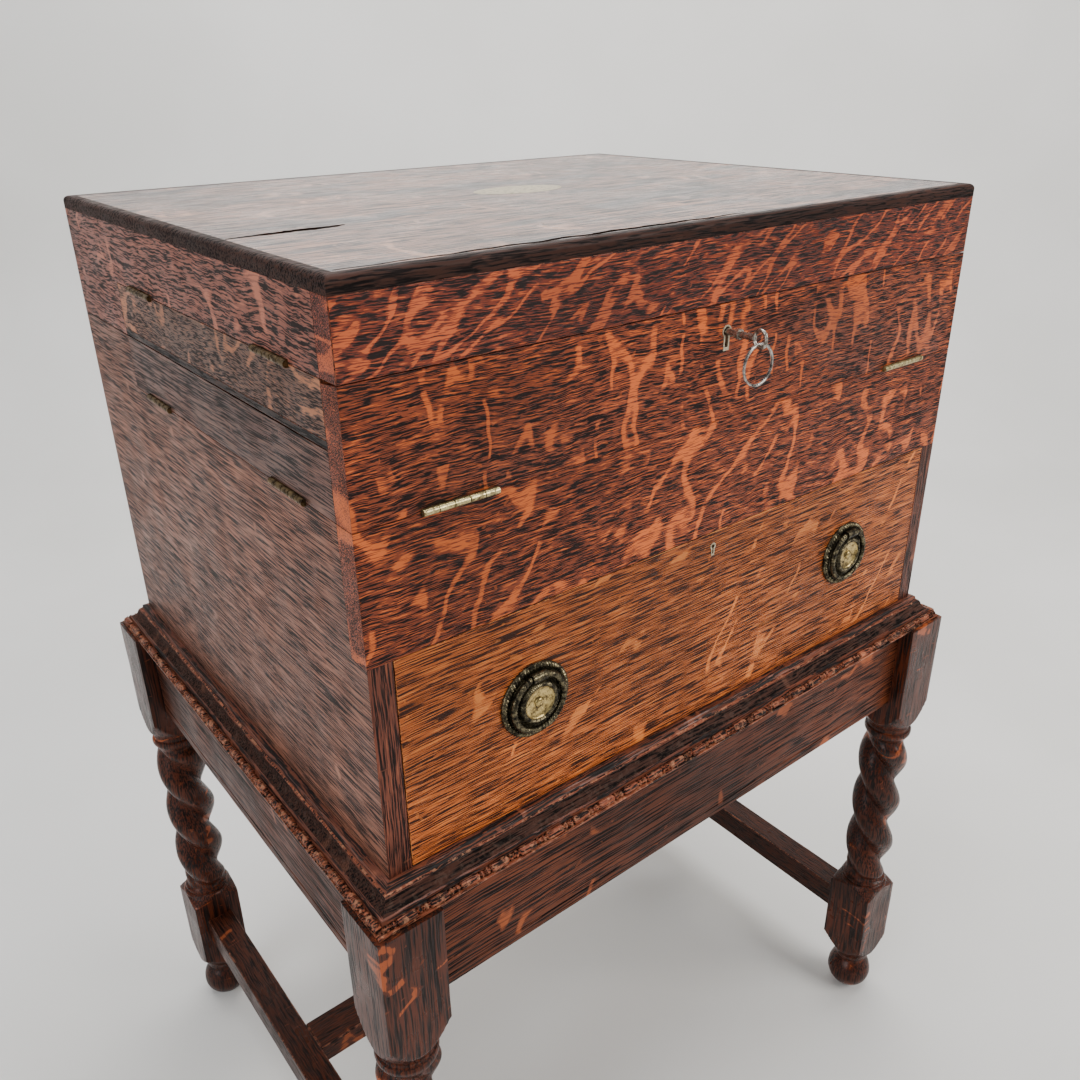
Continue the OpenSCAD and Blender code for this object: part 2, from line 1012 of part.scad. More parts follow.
module drawer_back() {
    half = drawer_w / 2 - drawer_side_t;
    y = front_y + drawer_front_t + drawer_box_l;
    color("#b08050")
        board([-half, y - drawer_side_t, drawer_floor_z + drawer_floor_t],
              [half, y, drawer_top_z]);
}

module drawer_bottom() {
    half = drawer_w / 2 - drawer_side_t;
    color("#b89060")
        board([-half, front_y + drawer_front_t, drawer_floor_z],
              [half, front_y + drawer_front_t + drawer_box_l, drawer_floor_z + drawer_floor_t]);
}

module drawer_lock() {
    y = front_y + drawer_front_t;
    color("#a08c58")
        difference() {
            board([-22, y, drawer_key_z - 22], [22, y + 8, drawer_key_z + 8]);
            keyhole_cut(drawer_key_z, y - 1, 6, 1.4, 1.2, 5);
        }
}

module drawer_escutcheon() {
    color("#b09a5c")
        difference() {
            keyhole_cut(drawer_key_z, front_y - 0.3, 1.8, 2.3, 2.8, 6.4);
            keyhole_cut(drawer_key_z, front_y - 1, 4, 1.4, 1.2, 5);
        }
}

// Turned backplate with its raised rim and dished boss, and the bolt and nut behind it
module pull_backplate() {
    rotate_extrude()
        polygon([
            [0, 0],
            [pull_plate_r, 0],
            [pull_plate_r, 1.4],
            [pull_plate_r - 0.9, 3],
            [pull_plate_r - 2.2, 3],
            [pull_plate_r - 3.1, pull_plate_t],
            [13.2, pull_plate_t],
            [12.6, 5.6],
            [11.4, 6.2],
            [10.2, 5.6],
            [8.6, 4.2],
            [3.2, 3.9],
            [2.6, 5],
            [0, 5.4]
        ]);
    difference() {
        union() {
            translate([0, pull_pin_up, pull_pin_out])
                rotate([0, 90, 0])
                    cylinder(r = 2.9, h = pull_knuckle_l, center = true);
            board([-pull_knuckle_l / 2, pull_pin_up - 2.2, pull_plate_t - 0.2],
                  [pull_knuckle_l / 2, pull_pin_up + 2.2, pull_pin_out]);
        }
        translate([0, pull_pin_up, pull_pin_out])
            rotate([0, 90, 0])
                cylinder(r = pull_pin_r + pin_play, h = 2 * pull_knuckle_l, center = true);
    }
    translate([0, 0, -drawer_front_t - 5])
        cylinder(r = pull_bolt_r, h = drawer_front_t + 6);
}

module pull_nut() {
    translate([0, 0, -drawer_front_t - 4])
        difference() {
            translate([-6, -6, 0])
                cube([12, 12, 4]);
            translate([0, 0, -1])
                cylinder(r = pull_bolt_r + pin_play, h = 6);
        }
}

module pull_backplates() {
    color("#8a7a4a")
        for (side = ["left", "right"])
            at_pull(side) {
                pull_backplate();
                pull_nut();
            }
}

module pull_ring(side) {
    color("#8a7a4a")
        at_pull(side)
            translate([0, 0, pull_pin_out]) {
                difference() {
                    rotate_extrude()
                        translate([pull_ring_r, 0])
                            circle(r = pull_wire_r, $fn = 32);
                    translate([-pull_gap_x, 5, -5])
                        cube([2 * pull_gap_x, 20, 10]);
                }
                translate([0, pull_pin_up, 0])
                    rotate([0, 90, 0])
                        cylinder(r = pull_pin_r, h = 2 * pull_gap_x + 1, center = true);
            }
}

leg(-leg_x, leg_front_y, twist_phases[0]);  // leg_front_left
leg(leg_x, leg_front_y, twist_phases[1]);  // leg_front_right
leg(-leg_x, leg_back_y, twist_phases[2]);  // leg_back_left
leg(leg_x, leg_back_y, twist_phases[3]);  // leg_back_right
front_apron();
back_apron();
side_aprons();
drilled_moulding();  // stand_moulding
side_stretchers();
cross_stretcher();
stand_cleats();
case_screws();
case_left_side();
case_right_side();
case_back();
front_rail();
well_floor();
case_bottom();
drawer_guides();
lid_top();
lid_edge_bead();
lid_front();
lid_back();
lid_left_side();
lid_right_side();
lid_plaque();
lock_striker();
lid_hinge_case_leaves();
lid_hinge_lid_leaves();
fall_front();
fall_escutcheon();
fall_lock();
fall_lock_bolt();
fall_hinge_case_leaves();
fall_hinge_fall_leaves();
lower_flap_left();
lower_flap_right();
lower_hinge_case_leaves();
lower_hinge_leaves("left");  // lower_hinge_left_leaves
lower_hinge_leaves("right");  // lower_hinge_right_leaves
upper_flap_left();
upper_flap_right();
upper_lip_left();
upper_lip_right();
upper_hinge_lid_leaves();
upper_hinge_leaves("left");  // upper_hinge_left_leaves
upper_hinge_leaves("right");  // upper_hinge_right_leaves
drawer_front();
drawer_sides();
drawer_back();
drawer_bottom();
drawer_lock();
drawer_escutcheon();
pull_backplates();
pull_ring("left");  // pull_ring_left
pull_ring("right");  // pull_ring_right
key();
key_ring();
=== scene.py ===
"""Looks of the work table: worn, figured oak with brass fittings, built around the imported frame.

X runs along the front, the front faces -Y, Z is up, and every length is in metres.
"""
import json
import math

import bmesh
import bpy
from mathutils import Matrix, Vector, noise


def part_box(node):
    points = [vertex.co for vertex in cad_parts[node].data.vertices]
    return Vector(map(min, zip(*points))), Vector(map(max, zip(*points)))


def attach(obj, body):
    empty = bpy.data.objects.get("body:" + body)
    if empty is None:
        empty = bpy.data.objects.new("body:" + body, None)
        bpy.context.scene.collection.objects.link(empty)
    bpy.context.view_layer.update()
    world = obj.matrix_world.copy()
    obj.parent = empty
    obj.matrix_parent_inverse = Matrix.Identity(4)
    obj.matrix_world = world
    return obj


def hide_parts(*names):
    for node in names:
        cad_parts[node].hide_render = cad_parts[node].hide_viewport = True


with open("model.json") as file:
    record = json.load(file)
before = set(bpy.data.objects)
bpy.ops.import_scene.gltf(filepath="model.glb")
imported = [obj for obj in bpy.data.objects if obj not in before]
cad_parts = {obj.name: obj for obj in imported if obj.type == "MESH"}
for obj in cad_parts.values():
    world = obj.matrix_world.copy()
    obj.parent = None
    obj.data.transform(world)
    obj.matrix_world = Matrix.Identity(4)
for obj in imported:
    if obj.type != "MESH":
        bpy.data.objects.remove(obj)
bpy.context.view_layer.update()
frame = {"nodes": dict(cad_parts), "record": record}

NODES = frame["nodes"]
BODY_OF = {node: body
           for body, members in frame["record"]["behaviour"]["bodies"].items()
           for node in members}
MM = 0.001


# ---------------------------------------------------------------- materials

def linear(red, green, blue):
    """A colour given as 0 to 255 on screen, as the linear colour that shaders take."""
    parts = [value / 255 for value in (red, green, blue)]
    return tuple(p / 12.92 if p <= 0.04045 else ((p + 0.055) / 1.055) ** 2.4 for p in parts) + (1,)


class Shader:
    """A node material under construction. Its methods add nodes and give back their output sockets."""

    def __init__(self, name):
        self.material = bpy.data.materials.new(name)
        self.material.use_nodes = True
        self.tree = self.material.node_tree
        self.tree.nodes.clear()
        self.place = self.add("TexCoord").outputs["Object"]

    def add(self, kind, inputs=None, **settings):
        made = self.tree.nodes.new("ShaderNode" + kind)
        for name, value in settings.items():
            setattr(made, name, value)
        for key, value in (inputs or {}).items():
            if isinstance(value, bpy.types.NodeSocket):
                self.tree.links.new(value, made.inputs[key])
            else:
                made.inputs[key].default_value = value
        return made

    def math(self, operation, first, second=0.0, clamp=False):
        return self.add("Math", {0: first, 1: second}, operation=operation, use_clamp=clamp).outputs[0]

    def vector(self, operation, first, second=(0, 0, 0)):
        return self.add("VectorMath", {0: first, 1: second}, operation=operation).outputs[0]

    def noise(self, place, scale, detail=3.0, rough=0.55, distortion=0.0, colour=False):
        made = self.add("TexNoise", {"Vector": place, "Scale": scale, "Detail": detail,
                                     "Roughness": rough, "Distortion": distortion})
        return made.outputs["Color" if colour else "Fac"]

    def step(self, value, low, high, to_low=0.0, to_high=1.0):
        """A smooth step that rises from to_low at low to to_high at high."""
        return self.add("MapRange", {"Value": value, "From Min": low, "From Max": high,
                                     "To Min": to_low, "To Max": to_high},
                        interpolation_type="SMOOTHSTEP").outputs["Result"]

    def mix(self, factor, first, second, blend="MIX"):
        made = self.add("Mix", {"Factor": factor}, data_type="RGBA", blend_type=blend)
        for socket, value in ((made.inputs[6], first), (made.inputs[7], second)):
            if isinstance(value, bpy.types.NodeSocket):
                self.tree.links.new(value, socket)
            else:
                socket.default_value = value
        return made.outputs[2]

    def turned(self, place, axes):
        """The place with its axes reordered, so that the grain runs along the first one."""
        parts = self.add("SeparateXYZ", {0: place})
        picked = {i: parts.outputs["XYZ".index(axis)] for i, axis in enumerate(axes)}
        return self.add("CombineXYZ", picked).outputs[0]

    def warped(self, place, scale, reach):
        """The place pushed about by a noise of that scale, by up to reach along each axis."""
        push = self.vector("SUBTRACT", self.noise(place, scale, 2.0, colour=True), (0.5, 0.5, 0.5))
        return self.vector("ADD", place, self.vector("MULTIPLY", push, reach))

    def finish(self, colour, rough, height, bump_reach, **constants):
        bump = self.add("Bump", {"Height": height, "Distance": bump_reach, "Strength": 1.0})
        shader = self.add("BsdfPrincipled", {"Base Color": colour, "Roughness": rough,
                                             "Normal": bump.outputs[0]})
        for key, value in constants.items():
            shader.inputs[key.replace("_", " ")].default_value = value
        out = self.add("OutputMaterial")
        self.tree.links.new(shader.outputs[0], out.inputs[0])
        return self.material


def oak(name, axes, dark, mid, fleck, seed, cover=0.5, slant=0.0, ribbon=(0.012, 0.034), thin=0.055,
        dash=(0.018, 0.0010), wave=0.0012, contrast=1.0, stain=0.3, rough=0.36, coat=0.0, shine=0.18,
        wear_and_highlight=None, wear_and_highlight_share=0.6, stained=False):
    """Quarter-sawn oak: short dark wavy pores over a brown ground, and pale ribbons where rays show.

    axes orders X, Y and Z as along the grain, across it, and into the board. cover is the share of
    the face that ribbons take, slant is how far they lean from straight across, in degrees, ribbon
    is their spacing along and across the grain, dash is the length and the spacing of the pores,
    and wave is how far the pores sway. The colour of rubbed spots, and how strongly it shows, may
    be given; these pale spots are wear, and on the moulding's edges painted highlights as well.
    Colours are screen values from 0 to 255.
    """
    s = Shader(name)
    dark, mid, fleck = (linear(*tone) for tone in (dark, mid, fleck))
    shifted = s.vector("ADD", s.place, (seed * 0.731, seed * 0.417, seed * 0.913))
    grain = s.turned(shifted, axes)
    wavy = s.warped(grain, 13.0, (0.0, 6 * wave, 3 * wave))
    wavy = s.warped(wavy, 100.0, (0.0, 1.4 * wave, 0.9 * wave))

    dash_l, dash_w = dash
    dashes = s.noise(s.vector("MULTIPLY", wavy, (1 / dash_l, 1 / dash_w, 1 / dash_w)), 1.0, 1.6, 0.55)
    streaks = s.noise(s.vector("MULTIPLY", wavy, (8, 210, 210)), 1.0, 3.0, 0.6)

    swayed = s.warped(grain, 24.0, (0.018, 0.010, 0.0))
    lean = s.add("Mapping", {"Vector": swayed, "Rotation": (0, 0, math.radians(slant))},
                 vector_type="POINT").outputs[0]
    figure = s.noise(s.vector("MULTIPLY", lean, (0.5 / ribbon[0], 0.5 / ribbon[1], 12)), 1.0, 1.0, 0.4)
    line = s.step(s.math("ABSOLUTE", s.math("SUBTRACT", figure, 0.5)), thin * 0.3, thin, 1.0, 0.0)
    patch = s.noise(s.vector("MULTIPLY", s.warped(grain, 30.0, (0.02, 0.02, 0.0)), (22, 34, 12)), 1.0, 2.0)
    shown = s.step(patch, 0.66 - 0.30 * cover, 0.72 - 0.30 * cover)
    flare = s.math("MULTIPLY", line, shown)

    level = s.math("MULTIPLY", s.math("SUBTRACT", dashes, 0.5), 2.3 * contrast)
    level = s.math("ADD", level, s.math("MULTIPLY", s.math("SUBTRACT", streaks, 0.5), 0.55 * contrast))
    level = s.math("ADD", s.math("ADD", level, s.math("MULTIPLY", flare, 0.46)), 0.38)
    ramp = s.add("ValToRGB", {"Fac": level})
    black = tuple(value * 0.30 for value in dark[:3]) + (1,)
    stops = [(0.22, black), (0.33, dark), (0.45, mid), (0.66, mid), (0.80, fleck)]
    elements = ramp.color_ramp.elements
    while len(elements) < len(stops):
        elements.new(0.5)
    for element, (place, colour) in zip(elements, stops):
        element.position, element.color = place, colour
    colour = ramp.outputs["Color"]

    cloud = s.step(s.noise(s.warped(shifted, 4.0, (0.1, 0.1, 0.1)), 6.0, 3.0, 0.6), 0.40, 0.62)
    colour = s.mix(s.math("MULTIPLY", cloud, stain), colour, black)
    scratch = s.step(s.noise(s.vector("MULTIPLY", s.warped(shifted, 9, (0.05, 0.05, 0.05)),
                                      (40, 700, 240)), 1.0, 1.0), 0.70, 0.74)
    colour = s.mix(s.math("MULTIPLY", scratch, 0.25), colour, fleck)
    # Pale rubbed spots: wear, and on the moulding's edges painted highlights as well
    if wear_and_highlight:
        rub = s.step(s.noise(s.vector("MULTIPLY", shifted, (260, 260, 260)), 1.0, 4.0, 0.7), 0.50, 0.62)
        colour = s.mix(s.math("MULTIPLY", rub, wear_and_highlight_share), colour, linear(*wear_and_highlight))
    pores = s.step(level, 0.20, 0.40, 1.0, 0.0)
    if stained:
        colour = top_stains(s, colour)
    dulling = s.step(s.noise(shifted, 30.0, 3.0, 0.6), 0.3, 0.7, rough - 0.06, rough + 0.08)
    roughness = s.math("ADD", s.math("MULTIPLY", pores, 0.2), dulling)
    height = s.math("SUBTRACT", s.math("MULTIPLY", streaks, 0.4), s.math("MULTIPLY", pores, 0.7))
    return s.finish(colour, roughness, height, 0.00020, Coat_Weight=coat, Coat_Roughness=0.12,
                    Specular_IOR_Level=shine)


def top_stains(s, colour):
    """Old blue-black stains that run with the grain of the lid."""
    cloud = s.step(s.noise(s.vector("MULTIPLY", s.warped(s.place, 9.0, (0.05, 0.03, 0.0)), (9, 34, 1)),
                           1.0, 4.0, 0.62), 0.50, 0.64)
    return s.mix(s.math("MULTIPLY", cloud, 0.80), colour, linear(34, 30, 34))


def plain_wood(name, axes, dark, pale, seed, shine=0.5):
    """Unpolished wood with soft straight grain and no figure: the inside boards, and, near-black, the
    painted shade inside the lid's splits.
    """
    s = Shader(name)
    dark, pale = linear(*dark), linear(*pale)
    grain = s.turned(s.vector("ADD", s.place, (seed, seed * 0.6, seed * 0.3)), axes)
    wavy = s.warped(grain, 6.0, (0.0, 0.012, 0.008))
    streaks = s.noise(s.vector("MULTIPLY", wavy, (5, 160, 160)), 1.0, 4.0, 0.65)
    fibres = s.noise(s.vector("MULTIPLY", wavy, (60, 1400, 1400)), 1.0, 2.0)
    colour = s.mix(s.step(streaks, 0.3, 0.7), dark, pale)
    colour = s.mix(s.step(fibres, 0.5, 0.7, 0.0, 0.35), colour, dark)
    return s.finish(colour, s.step(fibres, 0.3, 0.7, 0.55, 0.75), fibres, 0.0002,
                    Specular_IOR_Level=shine)


def brass(name, bright, dull, grime, grime_share=0.5, rough=0.3, pitting=0.00012):
    """Old brass: bright where it is rubbed, brown grime in patches, fine pits and scratches."""
    s = Shader(name)
    bright, dull, grime = (linear(*tone) for tone in (bright, dull, grime))
    patches = s.noise(s.place, 260.0, 5.0, 0.7)
    fine = s.noise(s.place, 900.0, 3.0, 0.6)
    lines = s.noise(s.vector("MULTIPLY", s.place, (3000, 260, 400)), 1.0, 2.0)
    colour = s.mix(s.step(patches, 0.35, 0.65), bright, dull)
    dirt = s.step(s.math("ADD", patches, s.math("MULTIPLY", fine, 0.4)), 0.86 - 0.4 * grime_share, 0.95)
    colour = s.mix(dirt, colour, grime)
    polish = s.step(fine, 0.3, 0.7, rough - 0.06, rough + 0.1)
    roughness = s.math("ADD", s.math("MULTIPLY", dirt, 0.35), polish)
    height = s.math("ADD", s.math("MULTIPLY", fine, 0.6), s.math("MULTIPLY", lines, 0.25))
    return s.finish(colour, roughness, height, pitting, Metallic=0.92)


FLECK = (212, 104, 48)
DARK = (48, 24, 20)
STAND_DARK = (34, 18, 13)
STAND_MID = (72, 36, 23)
STAND_FLECK = (132, 68, 38)

WOOD = {
    "lid_front": oak("lid_front_oak", "XZY", (50, 24, 20), (118, 52, 36), (196, 96, 54), 1.0,
                     cover=0.85, slant=52, ribbon=(0.0055, 0.024), thin=0.060, dash=(0.010, 0.00075),
                     shine=0.24),
    "fall_front": oak("fall_oak", "XZY", DARK, (136, 64, 38), FLECK, 2.0, cover=0.66, slant=-6,
                      ribbon=(0.0100, 0.034), thin=0.050, dash=(0.011, 0.00068)),
    "front_rail": oak("rail_oak", "XZY", DARK, (134, 62, 36), (216, 108, 50), 3.0, cover=0.72, slant=24,
                      ribbon=(0.0120, 0.024), thin=0.055, dash=(0.012, 0.00068)),
    "drawer_front": oak("drawer_oak", "XZY", (84, 40, 20), (190, 98, 40), (230, 134, 62), 4.0,
                        cover=0.38, slant=38, ribbon=(0.011, 0.050), thin=0.045, dash=(0.024, 0.00068),
                        wave=0.0005, stain=0.35, rough=0.32),
    "side": oak("side_oak", "YZX", (54, 34, 28), (142, 88, 66), (168, 112, 86), 5.0, cover=0.08,
                dash=(0.024, 0.00072), wave=0.0005, contrast=1.0, stain=0.30, coat=0.03),
    "lid_side": oak("lid_side_oak", "YZX", (54, 32, 27), (142, 84, 68), (184, 112, 86), 6.0,
                    cover=0.35, slant=40, ribbon=(0.0090, 0.022), dash=(0.014, 0.00090), wave=0.0020,
                    contrast=0.85, stain=0.25, coat=0.05),
    "upper_flap": oak("upper_flap_oak", "YZX", (54, 34, 28), (120, 82, 64), (190, 122, 84), 7.0,
                      cover=0.66, slant=-15, ribbon=(0.0120, 0.015), dash=(0.007, 0.00070), contrast=0.8,
                      stain=0.30, coat=0.05),
    "lower_flap": oak("lower_flap_oak", "YZX", (50, 32, 28), (112, 76, 64), (150, 102, 82), 8.0,
                      cover=0.10, slant=10, dash=(0.022, 0.00070), wave=0.0006, contrast=0.8, stain=0.35,
                      coat=0.05),
    "side_end": oak("side_end_oak", "ZXY", (46, 24, 19), (112, 60, 44), (150, 86, 58), 25.0,
                    cover=0.10, dash=(0.020, 0.00068), wave=0.0006, contrast=0.8, stain=0.30),
    "back": oak("back_oak", "XZY", (50, 30, 24), (108, 66, 48), (146, 92, 62), 9.0, cover=0.25,
                dash=(0.030, 0.0010), stain=0.40),
    "top": oak("top_oak", "XYZ", (52, 30, 22), (160, 100, 70), (190, 130, 94), 10.0, cover=0.30,
               slant=14, ribbon=(0.014, 0.040), dash=(0.022, 0.0009), wave=0.0008, contrast=1.0, stain=0.45,
               rough=0.30, coat=0.40, shine=0.45, stained=True),
    "bead": oak("bead_oak", "XYZ", (30, 19, 16), (62, 38, 30), (84, 54, 42), 11.0, cover=0.1,
                contrast=0.5, stain=0.3, rough=0.45, shine=0.10),
    "lip": oak("lip_oak", "YZX", (22, 14, 13), (48, 30, 25), (78, 50, 38), 12.0, cover=0.1,
               stain=0.4),
    "leg": oak("leg_oak", "ZXY", STAND_DARK, (84, 40, 24), (160, 80, 42), 13.0, cover=0.28, slant=10,
               ribbon=(0.007, 0.020), dash=(0.030, 0.0012), wave=0.0006, contrast=0.40, stain=0.45,
               rough=0.30, coat=0.06, shine=0.16),
    "apron_x": oak("apron_oak", "XZY", STAND_DARK, (108, 54, 30), (158, 82, 44), 14.0, cover=0.22,
                   slant=24, ribbon=(0.012, 0.030), dash=(0.040, 0.0011), wave=0.0006, contrast=0.55,
                   stain=0.45, rough=0.40, shine=0.12),
    "apron_y": oak("side_apron_oak", "YZX", STAND_DARK, (106, 56, 36), (152, 84, 54), 15.0,
                   cover=0.22, slant=24, ribbon=(0.012, 0.030), dash=(0.040, 0.0011), wave=0.0006,
                   contrast=0.55, stain=0.45, rough=0.40, shine=0.12),
    "stretcher_y": oak("side_stretcher_oak", "YXZ", STAND_DARK, STAND_MID, STAND_FLECK, 16.0, cover=0.15,
                       contrast=0.5, stain=0.40, rough=0.32, shine=0.15),
    "stretcher_x": oak("cross_stretcher_oak", "XYZ", STAND_DARK, STAND_MID, STAND_FLECK, 17.0, cover=0.15,
                       contrast=0.5, stain=0.40, rough=0.32, shine=0.15),
    # Near-black inside of the lid's splits: painted shade of the gaps
    "split": plain_wood("split_painted_shade", "XYZ", (10, 7, 6), (26, 16, 12), 3.0, shine=0.0),
    "inner_x": plain_wood("inner_x_wood", "XYZ", (120, 82, 50), (176, 134, 90), 1.0),
    "inner_y": plain_wood("inner_y_wood", "YXZ", (112, 74, 44), (168, 124, 80), 2.0),
}
# Materials of the moulding by number: strips along X, strips along Y, pale arrises that paint wear and
# highlights, darker hollow
MOULDING_WOOD = [
    oak("moulding_x_oak", "XZY", (30, 17, 13), (116, 62, 42), (150, 88, 62), 18.0,
        cover=0.05, dash=(0.030, 0.0010), contrast=0.7, stain=0.35, rough=0.34, shine=0.25),
    oak("moulding_y_oak", "YZX", (30, 17, 13), (108, 60, 44), (140, 84, 62), 19.0,
        cover=0.05, dash=(0.030, 0.0010), contrast=0.7, stain=0.35, rough=0.34, shine=0.25),
    # Pale wood on the edge faces: wear, and painted highlights where the edges catch the light
    oak("moulding_arris", "XYZ", (34, 20, 16), (140, 76, 52), (184, 112, 78), 20.0,
        cover=0.10, contrast=0.7, stain=0.20, rough=0.36, wear_and_highlight=(196, 136, 102), wear_and_highlight_share=0.50),
    oak("moulding_hollow", "XYZ", (30, 22, 19), (66, 40, 31), (92, 60, 46), 24.0,
        cover=0.05, contrast=0.6, stain=0.20, rough=0.60, shine=0.10, wear_and_highlight=(92, 74, 64), wear_and_highlight_share=0.25),
]
ARRIS = {
    "dark": oak("worn_dark_arris", "XYZ", (44, 22, 18), (96, 46, 32), (170, 88, 54), 21.0,
                cover=0.3, stain=0.3, wear_and_highlight=(158, 90, 64)),
    "drawer": oak("worn_drawer_arris", "XYZ", (120, 60, 28), (200, 116, 56), (226, 150, 84),
                  22.0, cover=0.5, stain=0.2, wear_and_highlight=(232, 156, 92)),
    "stand": oak("worn_stand_arris", "XYZ", (40, 22, 17), (90, 50, 36), (150, 94, 68), 23.0,
                 cover=0.3, stain=0.3, wear_and_highlight=(140, 88, 64)),
}
METAL = {
    "hinge": brass("hinge_brass", (206, 192, 142), (150, 136, 96), (70, 58, 40), 0.40, 0.32),
    "side_hinge": brass("side_hinge_brass", (128, 106, 70), (80, 62, 42), (34, 26, 19), 0.6, 0.40),
    "antique": brass("antique_brass", (120, 110, 84), (56, 50, 38), (16, 14, 12), 0.80, 0.26),
    "dish": brass("dish_brass", (196, 172, 112), (132, 112, 70), (44, 36, 24), 0.45, 0.26),
    "plaque": brass("plaque_metal", (206, 196, 172), (166, 152, 126), (96, 82, 64), 0.30, 0.42),
    "steel": brass("key_steel", (196, 188, 176), (128, 118, 108), (50, 40, 33), 0.50, 0.24),
    "key_ring": brass("ring_steel", (190, 184, 176), (120, 112, 106), (52, 46, 42), 0.35, 0.20),
}


# ---------------------------------------------------------------- mesh tools

def to_piece(mesh, name, body, materials, replaced=(), smooth=35):
    bmesh.ops.recalc_face_normals(mesh, faces=mesh.faces)
    data = bpy.data.meshes.new(name)
    mesh.to_mesh(data)
    mesh.free()
    for material in materials:
        data.materials.append(material)
    data.shade_smooth()
    data.set_sharp_from_angle(angle=math.radians(smooth))
    piece = bpy.data.objects.new(name, data)
    bpy.context.scene.collection.objects.link(piece)
    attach(piece, body)
    if replaced:
        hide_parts(*replaced)
    return piece


# Splits in the veneer of the lid: its ends along X, the Y of each end, and half its width
SPLITS = [(-0.232, -0.165, -0.066, -0.064, 0.0032), (-0.231, 0.020, -0.1768, -0.1768, 0.0017)]
SPLIT_T = 0.10 * MM
SPLIT_STEPS = 90


def add_splits(mesh, surface_z):
    """Lays the splits on the top of the lid as thin near-black strips, which paint the shade inside them,
    and sinks the face by their height.
    """
    for vert in mesh.verts:
        if vert.co.z > surface_z - SPLIT_T / 2:
            vert.co.z -= SPLIT_T
    for start, end, near, far, half_w in SPLITS:
        rows = []
        for i in range(SPLIT_STEPS + 1):
            t = i / SPLIT_STEPS
            along = start + (end - start) * t
            ragged = 1 + 0.5 * noise.noise(Vector((along * 300, near * 50, 9.0)))
            half = half_w * ragged * math.sin(math.pi * (0.03 + 0.95 * t ** 1.6)) ** 0.7
            wander = noise.noise(Vector((along * 60, near * 50, 0.0))) * 1.2 * half_w
            y = near + (far - near) * t + wander
            near_y, far_y = y - half, y + half
            under_z = surface_z - 4 * SPLIT_T
            rows.append([(along, near_y, surface_z), (along, far_y, surface_z),
                         (along, far_y, under_z), (along, near_y, under_z)])
        made = grid_faces(mesh, rows, looks=(2,))
        cap_ends(mesh, made, look=2)
    bmesh.ops.recalc_face_normals(mesh, faces=mesh.faces)


def worn_board(node, material, arris, width=1.1 * MM, seed=0, end=None, split=None):
    """The board of a CAD node with its arrises rubbed round, more in some places than in others.

    end is another material for the faces that look forwards and backwards, and split is the
    near-black material that paints the shade inside the splits of the lid, for the lid alone."""
    mesh = bmesh.new()
    mesh.from_mesh(NODES[node].data)
    bmesh.ops.remove_doubles(mesh, verts=mesh.verts, dist=1e-6)
    bmesh.ops.dissolve_limit(mesh, angle_limit=math.radians(1), verts=mesh.verts, edges=mesh.edges)
    sharp = [e for e in mesh.edges if e.is_manifold and e.calc_face_angle(0) > math.radians(40)]
    long_edges = [e for e in sharp if e.calc_length() > 20 * MM]
    for edge in long_edges:
        cuts = max(1, int(edge.calc_length() / (22 * MM)))
        bmesh.ops.subdivide_edges(mesh, edges=[edge], cuts=cuts)
    weights = mesh.edges.layers.float.new("bevel_weight_edge")
    for edge in mesh.edges:
        if edge.is_manifold and edge.calc_face_angle(0) > math.radians(40) and edge.calc_length() > 6 * MM:
            middle = (edge.verts[0].co + edge.verts[1].co) / 2
            rub = noise.noise(middle * 45 + Vector((seed, 0, 0)))
            edge[weights] = min(1.0, max(0.1, 0.5 + 0.5 * rub))
    materials = [material, arris]
    if end:
        materials.append(end)
        for face in mesh.faces:
            if abs(face.normal.y) > 0.9:
                face.material_index = 2
    if split:
        materials.append(split)
        add_splits(mesh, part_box(node)[1][2])
    data = bpy.data.meshes.new("worn_" + node)
    mesh.to_mesh(data)
    mesh.free()
    for made in materials:
        data.materials.append(made)
    piece = bpy.data.objects.new("worn_" + node, data)
    bpy.context.scene.collection.objects.link(piece)
    rounding = piece.modifiers.new("rubbed arrises", "BEVEL")
    rounding.limit_method = "WEIGHT"
    rounding.offset_type = "WIDTH"
    rounding.width = 2 * width
    rounding.segments = 3
    rounding.material = 1
    rounding.harden_normals = False
    data.shade_smooth()
    data.set_sharp_from_angle(angle=math.radians(30))
    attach(piece, BODY_OF[node])
    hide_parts(node)
    return piece


def grid_faces(mesh, rows, closed_ring=True, closed_rows=False, looks=(0,)):
    """Skins rows of points, each row one ring or strip, with quads.

    looks are the material numbers of the quads of a row, repeated as needed."""
    made = [[mesh.verts.new(point) for point in row] for row in rows]
    pairs = list(zip(made, made[1:]))
    if closed_rows:
        pairs.append((made[-1], made[0]))
    for low, high in pairs:
        count = len(low)
        for i in range(count if closed_ring else count - 1):
            j = (i + 1) % count
            face = mesh.faces.new((low[i], low[j], high[j], high[i]))
            face.material_index = looks[i % len(looks)]
    return made


def cap_ends(mesh, made, look=0):
    """Closes the first and the last ring of a skin."""
    mesh.faces.new(made[0]).material_index = look
    mesh.faces.new(list(reversed(made[-1]))).material_index = look


# ---------------------------------------------------------------- boards

